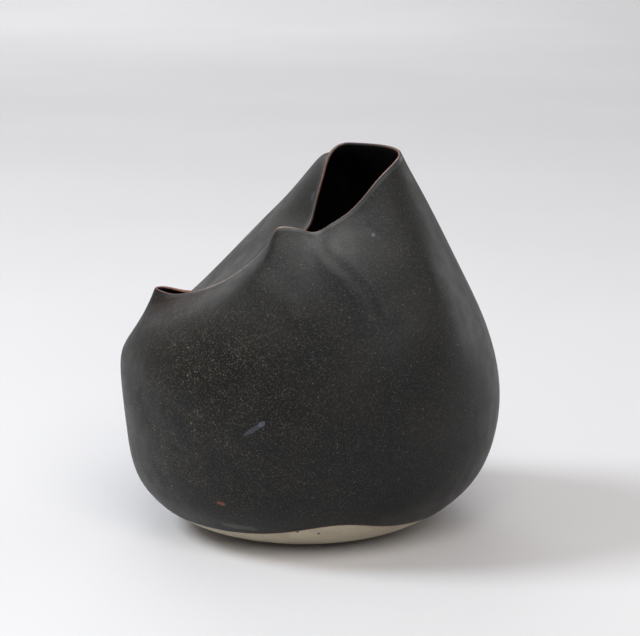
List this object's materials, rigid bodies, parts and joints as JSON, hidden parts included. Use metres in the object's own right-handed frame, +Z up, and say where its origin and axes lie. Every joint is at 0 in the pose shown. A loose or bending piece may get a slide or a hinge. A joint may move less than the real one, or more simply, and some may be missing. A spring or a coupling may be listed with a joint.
{
  "type": "folded-mouth ceramic pot",
  "caption": "Round hand-built stoneware pot with a folded-over mouth, a small side spout, a satin black glaze and a bare clay foot.",
  "frame": {"origin": "centre of the flat foot, on the surface that the pot stands on", "axes": "+Z up; +X towards the side with the large mouth, away from the small spout; -Y towards the front, where the low lip is; +Y towards the back wall that folds forward"},
  "size_m": [0.21, 0.2088, 0.2089],
  "materials": {
    "bare_clay": "matte, unglazed fired clay",
    "black_glaze": "satin, finely speckled",
    "rust_lip_glaze": "thin satin glaze that breaks to rust brown",
    "black_liner_glaze": "satin"
  },
  "bodies": {
    "root": {"stoneware_body": "bare_clay", "outer_glaze": "black_glaze", "rim_glaze": "rust_lip_glaze", "liner_glaze": "black_liner_glaze"}
  },
  "joints": []
}
